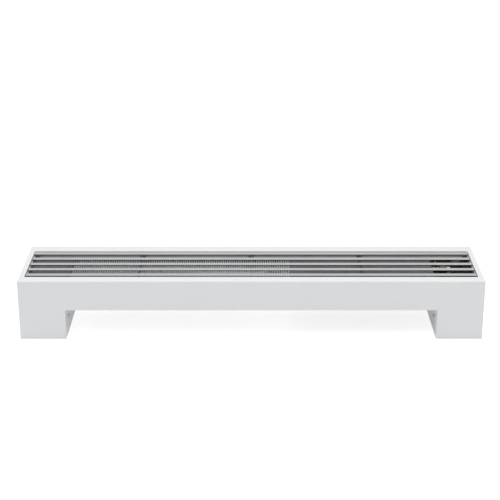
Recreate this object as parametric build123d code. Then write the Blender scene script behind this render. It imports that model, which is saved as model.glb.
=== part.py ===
from build123d import *
import os

# Floor-standing convector: a portal-shaped sheet-steel casing on two box legs, an air grille of
# flat bars, a fin-and-tube heat exchanger, and two valves in the right-hand leg.
#
# Millimetres. X runs along the casing, +Y points to the back and +Z up. The origin is the middle of
# the casing's outline on the floor.

# Casing
length = 1000
depth = 200
sheet = 1.5
bend_radius = 1.5
leg_width = 100
leg_height = 68
body_height = 67
front_border = 26
side_border = 12
return_width = 12
ledge_width = 7

# Grille
bar_count = 5
bar_width = 11.5
bar_thickness = 2
bar_gap = 18.25
bar_edge_gap = 7.25
bar_edge_radius = 0.6
grille_end_gap = 2
rail_count = 3
rail_thickness = 1.5
rail_height = 10
rail_end_gap = 0.5
end_profile_thickness = 2
tab_width = 6
tab_height = 0.9
tab_clearance = 0.05
grille_pad_size = (12, 6, 1)
grille_pad_offset = 3

# Heat exchanger
fin_pack_length = 476
fin_pitch = 5
fin_thickness = 0.4
fin_top_gap = 2.5
fin_depth = 166
fin_fold = 2.5
fin_hole_clearance = 0.05
fin_pack_inset = 6
end_plate_thickness = 1.2
end_plate_gap = 2
end_plate_flange = 8
tube_radius = 7.5
tube_wall = 1
tube_count = 4
tube_pitch = 40
tube_drop = 2.5
bend_straight = 8
tube_stub_left = 2
tube_stub_right = 8
tube_end_gap = 3.5

# Supports
bracket_thickness = 2.5
bracket_width = 170
bracket_foot = 36
bracket_gap = 0.3
bracket_rise_over_tube = 8
shelf_length = 32
shelf_width = 130
floor_slot_length = 16
floor_slot_width = 9
floor_slot_spacing = 110
floor_slot_offset = 20
cradle_width = 30
cradle_thickness = 3
cradle_inset = 30
cradle_end_gap = 0.3
pad_size = (20, 24, 2)
pad_spacing = 100
grommet_wall = 3
grommet_flange = 2
grommet_flange_rise = 2.5
blanking_thickness = 1
blanking_gap = 0.5
blanking_overlap = 5

# Fasteners
screw_radius = 2.4
screw_length = 9
screw_head_radius = 4.6
screw_head_height = 2.6
screw_hole_clearance = 0.3
screw_spacing = 110
driver_recess = (1.2, 5, 1.2)
rivet_radius = 1.6
rivet_head_radius = 3
rivet_tail_radius = 2
rivet_head_height = 0.8
rivet_inset = 30

# Valves
valve_body_radius = 13
valve_body_rise = 10
valve_collar_radius = 15
valve_collar_height = 15
valve_drop = 27
valve_bore_radius = 7
port_radius = 9.3
port_length = 13
branch_radius = 9.5
branch_length = 22
union_flats = 27
union_length = 16
union_overlap = 2
union_clearance = 0.05
bonnet_flats = 19
bonnet_height = 4.5
sleeve_radius = 6
sleeve_height = 4
seat_disc_radius = 5.5
seat_disc_thickness = 2
spindle_radius = 2
spindle_proud = 0.5
running_clearance = 0.05
wheel_radius = 16
wheel_wall = 2.4
wheel_hub_radius = 9
wheel_grooves = 18
groove_radius = 1.1
handle_rise = 1
handle_gap = 1.5
bonnet_clearance = 0.5
sleeve_clearance = 1
lock_spindle_radius = 4
socket_flats = 4
socket_depth = 3
cap_radius = 13.5
cap_wall = 2
vent_gap = 2.7
vent_length = 14
vent_offset = 1
vent_sleeve_radius = 10
vent_boss_radius = 6
vent_boss_rise = 18
vent_screw_radius = 3
vent_screw_length = 10
vent_bore_depth = 11
vent_head_rise = 0.5
vent_head_radius = 4
vent_head_height = 2.5
vent_slot = (1, 1.4)

# How far a cut runs past the face that it opens
cut_past = 1

# Places that follow from the sizes above
height = leg_height + body_height
x_end = length / 2
x_leg = x_end - leg_width
x_open = x_end - side_border
y_front = -depth / 2
y_back = depth / 2
y_open_front = y_front + front_border
opening_depth = bar_count * bar_width + (bar_count - 1) * bar_gap + 2 * bar_edge_gap
y_open_back = y_open_front + opening_depth
z_screw = leg_height / 2
z_bars = height - bar_thickness
z_seat = z_bars - rail_height
z_ledge = z_seat - grille_pad_size[2]
z_ledge_under = z_ledge - sheet
z_plate_under = z_ledge_under - blanking_thickness
z_return = leg_height + sheet
z_support = z_return + cradle_thickness
z_fins = z_support + pad_size[2]
z_fins_top = z_plate_under - fin_top_gap
z_tube = (z_fins + z_plate_under) / 2 - tube_drop
x_profile = x_open - grille_end_gap - end_profile_thickness / 2
x_fins_left = -x_leg + fin_pack_inset
x_fins_right = x_fins_left + fin_pack_length
x_plate_left = x_fins_left - end_plate_gap
x_plate_right = x_fins_right + end_plate_gap
x_bend_left = x_plate_left - end_plate_thickness - tube_stub_left
x_bend_right = x_plate_right + end_plate_thickness + tube_stub_right
x_bracket = x_leg + sheet + bracket_gap
x_vent_low = x_bracket + bracket_thickness + grommet_flange + vent_gap
x_vent = x_vent_low + vent_length / 2
x_nut = x_vent_low + vent_length + vent_offset
x_branch = x_nut + union_length - union_overlap
x_valve = x_branch + branch_length
tube_rows = [tube_pitch * (i - (tube_count - 1) / 2) for i in range(tube_count)]
y_flow, y_return = tube_rows[0], tube_rows[-1]
z_valve_top = z_tube + valve_body_rise
z_bonnet_top = z_valve_top + bonnet_height
z_sleeve_top = z_bonnet_top + sleeve_height
z_handle = z_valve_top + handle_rise
z_handle_top = z_ledge_under - handle_gap
z_vent_top = z_tube + vent_boss_rise


def block(x, y, z):
    """A box given by its (low, high) limits on each axis."""
    limits = (x, y, z)
    centre = [(low + high) / 2 for low, high in limits]
    size = [high - low for low, high in limits]
    return Pos(*centre) * Box(*size)


def post(radius, x, y, z):
    """An upright cylinder at (x, y) between the heights z = (low, high)."""
    return Pos(x, y, (z[0] + z[1]) / 2) * Cylinder(radius, z[1] - z[0])


def rod(radius, x, y, z):
    """A cylinder along X between x = (low, high)."""
    return Pos((x[0] + x[1]) / 2, y, z) * Rot(0, 90, 0) * Cylinder(radius, x[1] - x[0])


def upright_hexagon(flats, x, y, z):
    """An upright hexagonal prism, measured across its flats."""
    sketch = Plane.XY.offset(z[0]) * Pos(x, y) * RegularPolygon(flats / 2, 6, major_radius=False)
    return extrude(sketch, z[1] - z[0])


def lying_hexagon(flats, x, y, z):
    """A hexagonal prism along X, measured across its flats."""
    prism = extrude(RegularPolygon(flats / 2, 6, major_radius=False), x[1] - x[0])
    return Pos(x[0], y, z) * Rot(0, 90, 0) * prism


def mirrored(shape):
    """The same piece at the casing's other end."""
    return mirror(shape, about=Plane.YZ)


def group(shapes):
    """Separate solids kept together in one node."""
    return Compound(children=list(shapes))


def casing_outline():
    """The casing's outer form, with the radius of its folds on the top and upright edges."""
    solid = block((-x_end, x_end), (y_front, y_back), (0, height))
    edges = solid.edges().filter_by(Axis.Z) + solid.faces().sort_by(Axis.Z)[-1].edges()
    return fillet(edges, bend_radius)


def screw_holes(x):
    """Clearance holes for the casing screws through an upright sheet around x."""
    radius = screw_radius + screw_hole_clearance
    return [rod(radius, x, side * screw_spacing / 2, z_screw) for side in (-1, 1)]


def long_panel(y_wall, y_opening):
    """Front or back sheet: portal-shaped wall, top flange, lip, grille ledge and bottom return."""
    inward = 1 if y_wall < 0 else -1
    wall = block((-x_end, x_end), sorted((y_wall, y_wall + inward * sheet)), (0, height))
    wall -= block((-x_leg, x_leg), (y_front, y_back), (0, leg_height))
    flange = block((-x_end, x_end), sorted((y_wall, y_opening)), (height - sheet, height))
    lip_y = sorted((y_opening - inward * sheet, y_opening))
    lip = block((-x_open, x_open), lip_y, (z_ledge_under, height))
    ledge_y = sorted((y_opening - inward * sheet, y_opening + inward * ledge_width))
    ledge = block((-x_open, x_open), ledge_y, (z_ledge_under, z_ledge))
    fold = block((-x_leg, x_leg), sorted((y_wall, y_wall + inward * return_width)), (leg_height, z_return))
    return (wall + flange + lip + ledge + fold) & casing_outline()


def rivet_places(x_range):
    """Rivet positions at the four corners of a blanking plate, on the two ledges."""
    xs = (x_range[0] + rivet_inset, x_range[1] - rivet_inset)
    ys = (y_open_front + ledge_width / 2, y_open_back - ledge_width / 2)
    return [(x, y) for x in xs for y in ys]


def end_panel():
    """Right-hand end sheet with its narrow top flange and lip."""
    wall = block((x_end - sheet, x_end), (y_front + sheet, y_back - sheet), (0, height))
    wall -= block((0, x_end), (y_front, y_open_front), (height - sheet, height))
    wall -= block((0, x_end), (y_open_back, y_back), (height - sheet, height))
    flange = block((x_open, x_end), (y_open_front, y_open_back), (height - sheet, height))
    lip = block((x_open, x_open + sheet), (y_open_front, y_open_back), (z_ledge_under, height))
    return (wall + flange + lip) & casing_outline()


def leg_inner_panel():
    """Inner side of the right-hand leg; its top fold closes the frame under the body."""
    wall = block((x_leg, x_leg + sheet), (y_front + sheet, y_back - sheet), (0, z_return))
    fold_y = (y_front + return_width, y_back - return_width)
    fold = block((x_leg - return_width, x_leg + sheet), fold_y, (leg_height, z_return))
    for hole in screw_holes((x_leg - sheet, x_leg + 2 * sheet)):
        wall -= hole
    return wall + fold


def bar_centres():
    """Y of each grille bar, from the front."""
    first = y_open_front + bar_edge_gap + bar_width / 2
    return [first + i * (bar_width + bar_gap) for i in range(bar_count)]


def rail_centres():
    """X of the inner rails, evenly spaced between the end profiles."""
    spacing = 2 * x_open / (rail_count + 1)
    return [-x_open + spacing * (i + 1) for i in range(rail_count)]


def tab_blocks(x, thickness, y_list, clearance):
    """The tabs on a rail's top edge, or with clearance the pockets that take them."""
    half = thickness / 2 + clearance
    reach = tab_width / 2 + clearance
    top = z_bars + tab_height + clearance
    return [block((x - half, x + half), (y - reach, y + reach), (z_bars, top)) for y in y_list]


def grille_bar(y):
    """A flat bar with softened top edges and blind pockets for the rails' tabs."""
    reach = x_open - grille_end_gap
    bar = block((-reach, reach), (y - bar_width / 2, y + bar_width / 2), (z_bars, height))
    top_edges = bar.faces().sort_by(Axis.Z)[-1].edges().filter_by(Axis.X)
    bar = fillet(top_edges, bar_edge_radius)
    for x in rail_centres():
        bar -= tab_blocks(x, rail_thickness, [y], tab_clearance)
    for x in (-x_profile, x_profile):
        bar -= tab_blocks(x, end_profile_thickness, [y], tab_clearance)
    return bar


def grille_rail(x, thickness):
    """A strip on edge across the grille, with one tab for each bar."""
    span = (y_open_front + rail_end_gap, y_open_back - rail_end_gap)
    strip = block((x - thickness / 2, x + thickness / 2), span, (z_seat, z_bars))
    for tab in tab_blocks(x, thickness, bar_centres(), 0):
        strip += tab
    return strip


def grille_pads():
    """Rubber pads on the ledges under both ends of every rail and end profile."""
    size_x, size_y, _ = grille_pad_size
    ys = (y_open_front + ledge_width / 2, y_open_back - ledge_width / 2)
    outer = x_profile - grille_pad_offset
    pad_centres = [-outer] + rail_centres() + [outer]
    pads = []
    for x in pad_centres:
        for y in ys:
            y_range = (y - size_y / 2, y + size_y / 2)
            pads.append(block((x - size_x / 2, x + size_x / 2), y_range, (z_ledge, z_seat)))
    return group(pads)


def tube(x_range, y):
    """A straight copper tube along X."""
    return rod(tube_radius, x_range, y, z_tube) - rod(tube_radius - tube_wall, x_range, y, z_tube)


def return_bend(x, y_low, outward):
    """A U-shaped tube from x outwards that joins the tubes at y_low and one pitch further."""
    radius = tube_pitch / 2
    x_turn = x + outward * bend_straight
    legs = [tube(sorted((x, x_turn)), y) for y in (y_low, y_low + tube_pitch)]
    ring = Torus(radius, tube_radius) - Torus(radius, tube_radius - tube_wall)
    ring = Pos(x_turn, y_low + radius, z_tube) * ring
    reach = 2 * (radius + tube_radius)
    half = block(sorted((x_turn, x_turn + outward * reach)), (y_front, y_back), (0, height))
    return legs[0] + (ring & half) + legs[1]


def tube_holes(x_range, rows, clearance):
    """Round cuts for the tubes through an upright sheet."""
    return [rod(tube_radius + clearance, x_range, y, z_tube) for y in rows]


def fin_pack():
    """Upright aluminium fins, all alike, pierced by the four tubes and folded over at the top."""
    half = fin_depth / 2
    fin = block((0, fin_thickness), (-half, half), (z_fins, z_fins_top))
    fin += block((0, fin_fold), (-half, half), (z_fins_top - fin_thickness, z_fins_top))
    for hole in tube_holes((-fin_thickness, 2 * fin_thickness), tube_rows, fin_hole_clearance):
        fin -= hole
    count = int(fin_pack_length / fin_pitch) + 1
    return group(Pos(x_fins_left + i * fin_pitch, 0, 0) * fin for i in range(count))


def exchanger_end_plate(x, outward):
    """Sheet at one end of the fins, with a stiffening flange along its top."""
    half = fin_depth / 2
    top = z_fins_top + end_plate_thickness
    outer = x + outward * end_plate_thickness
    plate = block(sorted((x, outer)), (-half, half), (z_fins, top))
    flange_x = sorted((x, x + outward * end_plate_flange))
    plate += block(flange_x, (-half, half), (top - end_plate_thickness, top))
    cut_x = (x - end_plate_flange, x + end_plate_flange)
    for hole in tube_holes(cut_x, tube_rows, fin_hole_clearance):
        plate -= hole
    return plate


def floor_slot(x, y):
    """A slot along X through a bracket's foot."""
    slot = SlotOverall(floor_slot_length, floor_slot_width)
    return extrude(Plane.XY.offset(-cut_past) * Pos(x, y) * slot, bracket_thickness + 2 * cut_past)


def foot_bracket(with_shelf):
    """Right-hand bracket: foot with two floor slots, upright with open notches for the tubes."""
    x_outer = x_bracket + bracket_thickness
    half = bracket_width / 2
    z_top = z_tube + bracket_rise_over_tube
    bracket = block((x_bracket, x_outer), (-half, half), (0, z_top))
    bracket += block((x_bracket, x_bracket + bracket_foot), (-half, half), (0, bracket_thickness))
    for side in (-1, 1):
        bracket -= floor_slot(x_bracket + floor_slot_offset, side * floor_slot_spacing / 2)
    cut_x = (x_bracket - cut_past, x_outer + cut_past)
    notch = tube_radius + grommet_wall
    for y in tube_rows:
        bracket -= rod(notch, cut_x, y, z_tube)
        bracket -= block(cut_x, (y - notch, y + notch), (z_tube, z_top))
    for side in (-1, 1):
        bracket -= rod(screw_radius, cut_x, side * screw_spacing / 2, z_screw)
    if with_shelf:
        shelf_x = (x_bracket - shelf_length, x_outer)
        bracket += block(shelf_x, (-shelf_width / 2, shelf_width / 2), (z_return, z_support))
    return bracket


def grommet(x_low, y):
    """A U-shaped rubber liner between a tube and its notch, with a flange on each side."""
    x_high = x_low + bracket_thickness
    inner, outer = tube_radius, tube_radius + grommet_wall
    rise = outer + grommet_flange_rise
    z_top = z_tube + bracket_rise_over_tube
    ring = rod(outer, (x_low, x_high), y, z_tube)
    ring += block((x_low, x_high), (y - outer, y + outer), (z_tube, z_top))
    for flange_x in ((x_low - grommet_flange, x_low), (x_high, x_high + grommet_flange)):
        ring += rod(rise, flange_x, y, z_tube)
    span = (x_low - 2 * grommet_flange, x_high + 2 * grommet_flange)
    ring -= rod(inner, span, y, z_tube)
    ring -= block(span, (y - inner, y + inner), (z_tube, z_top + rise))
    return ring & block(span, (y_front, y_back), (0, z_top))


def cradle_rail():
    """Flat rail across the casing under the fins' right-hand end."""
    x = x_fins_right - cradle_inset
    y_reach = depth / 2 - sheet - cradle_end_gap
    return block((x - cradle_width / 2, x + cradle_width / 2), (-y_reach, y_reach), (z_return, z_support))


def isolation_pads():
    """Rubber pads that carry the fins on the left shelf and on the cradle rail."""
    size_x, size_y, size_z = pad_size
    pads = []
    for x in (x_fins_left + size_x / 2, x_fins_right - cradle_inset):
        for side in (-1, 1):
            y = side * pad_spacing / 2
            y_range = (y - size_y / 2, y + size_y / 2)
            pads.append(block((x - size_x / 2, x + size_x / 2), y_range, (z_support, z_support + size_z)))
    return group(pads)


def blanking_plate(x_range):
    """A flat plate riveted up under the ledges, where no fins lie below the grille."""
    y_range = (y_open_front - sheet, y_open_back + sheet)
    return block(x_range, y_range, (z_plate_under, z_ledge_under))


def rivets(x_ranges):
    """Blind rivets through the ledges and the blanking plates."""
    places = [place for x_range in x_ranges for place in rivet_places(x_range)]
    return group(
        post(rivet_head_radius, x, y, (z_ledge, z_ledge + rivet_head_height))
        + post(rivet_radius, x, y, (z_plate_under, z_ledge))
        + post(rivet_tail_radius, x, y, (z_plate_under - rivet_head_height, z_plate_under))
        for x, y in places
    )


def rivet_cuts(x_range):
    """The holes that a plate's rivets fill."""
    return [post(rivet_radius, x, y, (z_plate_under, z_ledge)) for x, y in rivet_places(x_range)]


def casing_screws():
    """Pan-head screws through each leg's inner panel into its foot bracket."""
    slot_width, slot_length, slot_depth = driver_recess
    x_head = x_leg - screw_head_height
    screws = []
    for side in (-1, 1):
        y = side * screw_spacing / 2
        screw = rod(screw_head_radius, (x_head, x_leg), y, z_screw)
        screw += rod(screw_radius, (x_leg, x_leg + screw_length), y, z_screw)
        for half_y, half_z in ((slot_width / 2, slot_length / 2), (slot_length / 2, slot_width / 2)):
            y_range = (y - half_y, y + half_y)
            z_range = (z_screw - half_z, z_screw + half_z)
            screw -= block((x_head, x_head + slot_depth), y_range, z_range)
        screws += [screw, mirrored(screw)]
    return group(screws)


def valve_body(y):
    """Angle valve: a port that points down to the floor and a branch towards the tube."""
    z_low = z_tube - valve_drop
    body = post(valve_body_radius, x_valve, y, (z_low, z_valve_top))
    body += post(valve_collar_radius, x_valve, y, (z_low, z_low + valve_collar_height))
    body += rod(branch_radius, (x_branch, x_valve), y, z_tube)
    body -= post(port_radius, x_valve, y, (z_low, z_low + port_length))
    body -= post(valve_bore_radius, x_valve, y, (z_low, z_valve_top))
    body -= rod(valve_bore_radius, (x_branch, x_valve), y, z_tube)
    return body


def union_nut(y):
    """Compression nut between the tube and the valve's branch."""
    x_range = (x_nut, x_nut + union_length)
    nut = lying_hexagon(union_flats, x_range, y, z_tube)
    nut -= rod(tube_radius + union_clearance, x_range, y, z_tube)
    nut -= rod(branch_radius + union_clearance, (x_branch, x_range[1]), y, z_tube)
    return nut


def bonnet(y, stem_radius):
    """Hexagonal insert on top of a valve, with a sleeve round its spindle."""
    piece = upright_hexagon(bonnet_flats, x_valve, y, (z_valve_top, z_bonnet_top))
    piece += post(sleeve_radius, x_valve, y, (z_bonnet_top, z_sleeve_top))
    piece -= post(stem_radius + running_clearance, x_valve, y, (z_valve_top, z_sleeve_top))
    return piece


def valve_spindle():
    """Flow valve's spindle with its seat disc, pushed down by the handwheel."""
    z_top = z_sleeve_top + spindle_proud
    z_disc = z_tube + seat_disc_thickness
    spindle = post(spindle_radius, x_valve, y_flow, (z_disc, z_top))
    return spindle + post(seat_disc_radius, x_valve, y_flow, (z_tube, z_disc))


def handle_shell(y, radius, wall, hub_radius):
    """A cap over a bonnet, whose hub turns on the bonnet's sleeve."""
    shell = post(radius, x_valve, y, (z_handle, z_handle_top))
    shell = fillet(shell.faces().sort_by(Axis.Z)[-1].edges(), wall / 2)
    shell -= post(radius - wall, x_valve, y, (z_handle, z_bonnet_top + bonnet_clearance))
    hub_top = z_sleeve_top + sleeve_clearance
    shell -= post(sleeve_radius + running_clearance, x_valve, y, (z_handle, hub_top))
    trench = post(radius - wall, x_valve, y, (z_bonnet_top, z_handle_top - wall))
    return shell - (trench - post(hub_radius, x_valve, y, (z_handle, z_handle_top)))


def handwheel():
    """Grooved handwheel of the flow valve."""
    wheel = handle_shell(y_flow, wheel_radius, wheel_wall, wheel_hub_radius)
    groove = post(groove_radius, x_valve + wheel_radius, y_flow, (z_handle, z_handle_top))
    centre = Axis((x_valve, y_flow, 0), (0, 0, 1))
    for i in range(wheel_grooves):
        wheel -= groove.rotate(centre, 360 * i / wheel_grooves)
    return wheel


def lockshield_spindle():
    """Return valve's spindle, turned with a hexagon key once the cap is off."""
    z_disc = z_tube + seat_disc_thickness
    spindle = post(lock_spindle_radius, x_valve, y_return, (z_disc, z_sleeve_top))
    spindle += post(seat_disc_radius, x_valve, y_return, (z_tube, z_disc))
    return spindle - upright_hexagon(
        socket_flats, x_valve, y_return, (z_sleeve_top - socket_depth, z_sleeve_top)
    )


def vent_body():
    """Air vent: a sleeve round the return tube with an upright boss."""
    x_range = (x_vent_low, x_vent_low + vent_length)
    body = rod(vent_sleeve_radius, x_range, y_return, z_tube)
    body += post(vent_boss_radius, x_vent, y_return, (z_tube, z_vent_top))
    body -= rod(tube_radius + union_clearance, x_range, y_return, z_tube)
    bore_z = (z_vent_top - vent_bore_depth, z_vent_top)
    return body - post(vent_screw_radius + running_clearance, x_vent, y_return, bore_z)


def vent_screw():
    """Slotted screw that opens the air vent."""
    slot_width, slot_depth = vent_slot
    z_head = z_vent_top + vent_head_rise
    z_top = z_head + vent_head_height
    screw = post(vent_screw_radius, x_vent, y_return, (z_vent_top - vent_screw_length, z_head))
    screw += post(vent_head_radius, x_vent, y_return, (z_head, z_top))
    reach = vent_head_radius + cut_past
    slot_x = (x_vent - slot_width / 2, x_vent + slot_width / 2)
    return screw - block(slot_x, (y_return - reach, y_return + reach), (z_top - slot_depth, z_top))


# Panels and plates
plate_left = (-x_end + sheet + blanking_gap, -x_leg + blanking_overlap)
plate_middle = (x_plate_right + end_plate_thickness, x_leg)
front_panel = long_panel(y_front, y_open_front)
back_panel = long_panel(y_back, y_open_back)
blanking_left = blanking_plate(plate_left)
blanking_middle = blanking_plate(plate_middle)
for cut in rivet_cuts(plate_left):
    front_panel -= cut
    back_panel -= cut
    blanking_left -= cut
for cut in rivet_cuts(plate_middle):
    front_panel -= cut
    back_panel -= cut
    blanking_middle -= cut

# Brackets and grommets
right_grommets = [grommet(x_bracket, y) for y in (y_flow, y_return)]
left_grommets = [mirrored(grommet(x_bracket, y)) for y in tube_rows]

# Tubes
long_tube = (x_bend_left, x_branch - tube_end_gap)
short_tube = (x_bend_left, x_bend_right)

parts = {
    "front_panel": front_panel,
    "back_panel": back_panel,
    "end_panel_right": end_panel(),
    "end_panel_left": mirrored(end_panel()),
    "leg_inner_panel_right": leg_inner_panel(),
    "leg_inner_panel_left": mirrored(leg_inner_panel()),
    "foot_bracket_right": foot_bracket(with_shelf=False),
    "foot_bracket_left": mirrored(foot_bracket(with_shelf=True)),
    "casing_screws": casing_screws(),
    "cradle_rail": cradle_rail(),
    "isolation_pads": isolation_pads(),
    "blanking_plate_left": blanking_left,
    "blanking_plate_middle": blanking_middle,
    "plate_rivets": rivets((plate_left, plate_middle)),
    "fin_pack": fin_pack(),
    "exchanger_end_plate_left": exchanger_end_plate(x_plate_left, -1),
    "exchanger_end_plate_right": exchanger_end_plate(x_plate_right, 1),
    "flow_tube": tube(long_tube, y_flow),
    "return_tube": tube(long_tube, y_return),
    "middle_tube_front": tube(short_tube, tube_rows[1]),
    "middle_tube_back": tube(short_tube, tube_rows[2]),
    "return_bend_left_front": return_bend(x_bend_left, tube_rows[0], -1),
    "return_bend_left_back": return_bend(x_bend_left, tube_rows[2], -1),
    "return_bend_right": return_bend(x_bend_right, tube_rows[1], 1),
    "tube_grommets": group(right_grommets + left_grommets),
    "flow_union_nut": union_nut(y_flow),
    "return_union_nut": union_nut(y_return),
    "flow_valve_body": valve_body(y_flow),
    "flow_valve_bonnet": bonnet(y_flow, spindle_radius),
    "flow_valve_spindle": valve_spindle(),
    "handwheel": handwheel(),
    "return_valve_body": valve_body(y_return),
    "return_valve_bonnet": bonnet(y_return, lock_spindle_radius),
    "lockshield_spindle": lockshield_spindle(),
    "lockshield_cap": handle_shell(y_return, cap_radius, cap_wall, cap_radius - 2 * cap_wall),
    "air_vent_body": vent_body(),
    "air_vent_screw": vent_screw(),
    "grille_pads": grille_pads(),
    "grille_end_profile_left": grille_rail(-x_profile, end_profile_thickness),
    "grille_end_profile_right": grille_rail(x_profile, end_profile_thickness),
}
for number, y in enumerate(bar_centres(), start=1):
    parts[f"grille_bar_{number}"] = grille_bar(y)
for number, x in enumerate(rail_centres(), start=1):
    parts[f"grille_rail_{number}"] = grille_rail(x, rail_thickness)

os.makedirs("parts", exist_ok=True)
for name, shape in parts.items():
    export_step(shape, f"parts/{name}.step")
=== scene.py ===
import logging
import math
from collections.abc import Callable, Sequence
from dataclasses import dataclass, field
from enum import Enum

import bmesh
import bpy
from bmesh.types import BMEdge, BMesh, BMFace, BMVert
from bpy.types import Material, Node, NodeSocket, NodeTree, Object
from mathutils import Matrix


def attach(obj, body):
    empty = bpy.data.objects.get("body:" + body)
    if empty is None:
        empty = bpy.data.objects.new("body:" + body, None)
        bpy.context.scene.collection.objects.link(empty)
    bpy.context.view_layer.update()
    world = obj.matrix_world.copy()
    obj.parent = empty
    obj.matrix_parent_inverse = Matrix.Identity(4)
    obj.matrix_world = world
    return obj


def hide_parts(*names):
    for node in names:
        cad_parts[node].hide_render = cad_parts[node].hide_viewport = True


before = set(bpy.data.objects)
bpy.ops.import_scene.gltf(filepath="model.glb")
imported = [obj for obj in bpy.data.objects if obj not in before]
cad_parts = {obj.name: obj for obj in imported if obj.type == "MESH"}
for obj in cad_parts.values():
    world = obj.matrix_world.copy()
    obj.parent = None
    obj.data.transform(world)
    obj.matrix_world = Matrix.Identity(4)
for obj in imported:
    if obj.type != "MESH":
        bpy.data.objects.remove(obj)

LOG = logging.getLogger("convector")
MM = 0.001
Colour = tuple[float, float, float]
Point = tuple[float, float, float]


# Shader node helpers

def fill_inputs(tree: NodeTree, made: Node, links: dict) -> None:
    """Links sockets to a node's inputs and sets its plain values.

    Args:
        tree: The node tree that holds the node.
        made: The node.
        links: For each input's name or number, a socket to link or a plain value.
    """
    for key, value in links.items():
        if isinstance(value, NodeSocket):
            tree.links.new(value, made.inputs[key])
        else:
            made.inputs[key].default_value = value


def add_node(tree: NodeTree, kind: str, links: dict, **settings: object) -> Node:
    """Adds a shader node and fills its inputs.

    Args:
        tree: The node tree that gets the node.
        kind: The node's type name.
        links: Its inputs, as fill_inputs takes them.
        settings: Properties of the node, such as its operation.

    Returns:
        The new node.
    """
    made = tree.nodes.new(kind)
    for key, value in settings.items():
        setattr(made, key, value)
    fill_inputs(tree, made, links)
    return made


def maths(tree: NodeTree, operation: str, first: object, second: object = 0.0,
          clamp: bool = False) -> NodeSocket:
    """Adds a Math node.

    Args:
        tree: The node tree.
        operation: The Math node's operation.
        first: First socket or number.
        second: Second socket or number.
        clamp: Whether the result is kept between 0 and 1.

    Returns:
        The result's socket.
    """
    links = {0: first, 1: second}
    return add_node(tree, "ShaderNodeMath", links, operation=operation, use_clamp=clamp).outputs[0]


def remap(tree: NodeTree, value: NodeSocket, source: tuple[float, float],
          target: tuple[object, object]) -> NodeSocket:
    """Maps a value from one range to another, clamped.

    Args:
        tree: The node tree.
        value: The socket to map.
        source: Lowest and highest value read.
        target: What these two become, as numbers or sockets.

    Returns:
        The mapped value's socket.
    """
    links = {0: value, 1: source[0], 2: source[1], 3: target[0], 4: target[1]}
    return add_node(tree, "ShaderNodeMapRange", links).outputs[0]


def blend_colours(tree: NodeTree, mask: NodeSocket, first: object, second: object) -> NodeSocket:
    """Mixes two colours by a mask.

    Args:
        tree: The node tree.
        mask: 0 gives the first colour and 1 the second.
        first: Socket, or colour with alpha.
        second: Socket, or colour with alpha.

    Returns:
        The mixed colour's socket.
    """
    return add_node(tree, "ShaderNodeMix", {0: mask, 6: first, 7: second}, data_type="RGBA").outputs[2]


def noise(tree: NodeTree, vector: NodeSocket, scale: object, detail: float = 2.0,
          rough: float = 0.5) -> NodeSocket:
    """Adds a noise texture.

    Args:
        tree: The node tree.
        vector: Where the noise is read.
        scale: Waves per metre, as a number or a socket.
        detail: How many finer layers it has.
        rough: How strong the finer layers are.

    Returns:
        The noise value's socket.
    """
    links = {"Vector": vector, "Scale": scale, "Detail": detail, "Roughness": rough}
    return add_node(tree, "ShaderNodeTexNoise", links).outputs["Fac"]


def stretched(tree: NodeTree, vector: NodeSocket, factors: object) -> NodeSocket:
    """Multiplies a vector, axis by axis.

    Args:
        tree: The node tree.
        vector: The vector's socket.
        factors: One factor for each axis, or a socket.

    Returns:
        The product's socket.
    """
    return add_node(tree, "ShaderNodeVectorMath", {0: vector, 1: factors}, operation="MULTIPLY").outputs[0]


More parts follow.
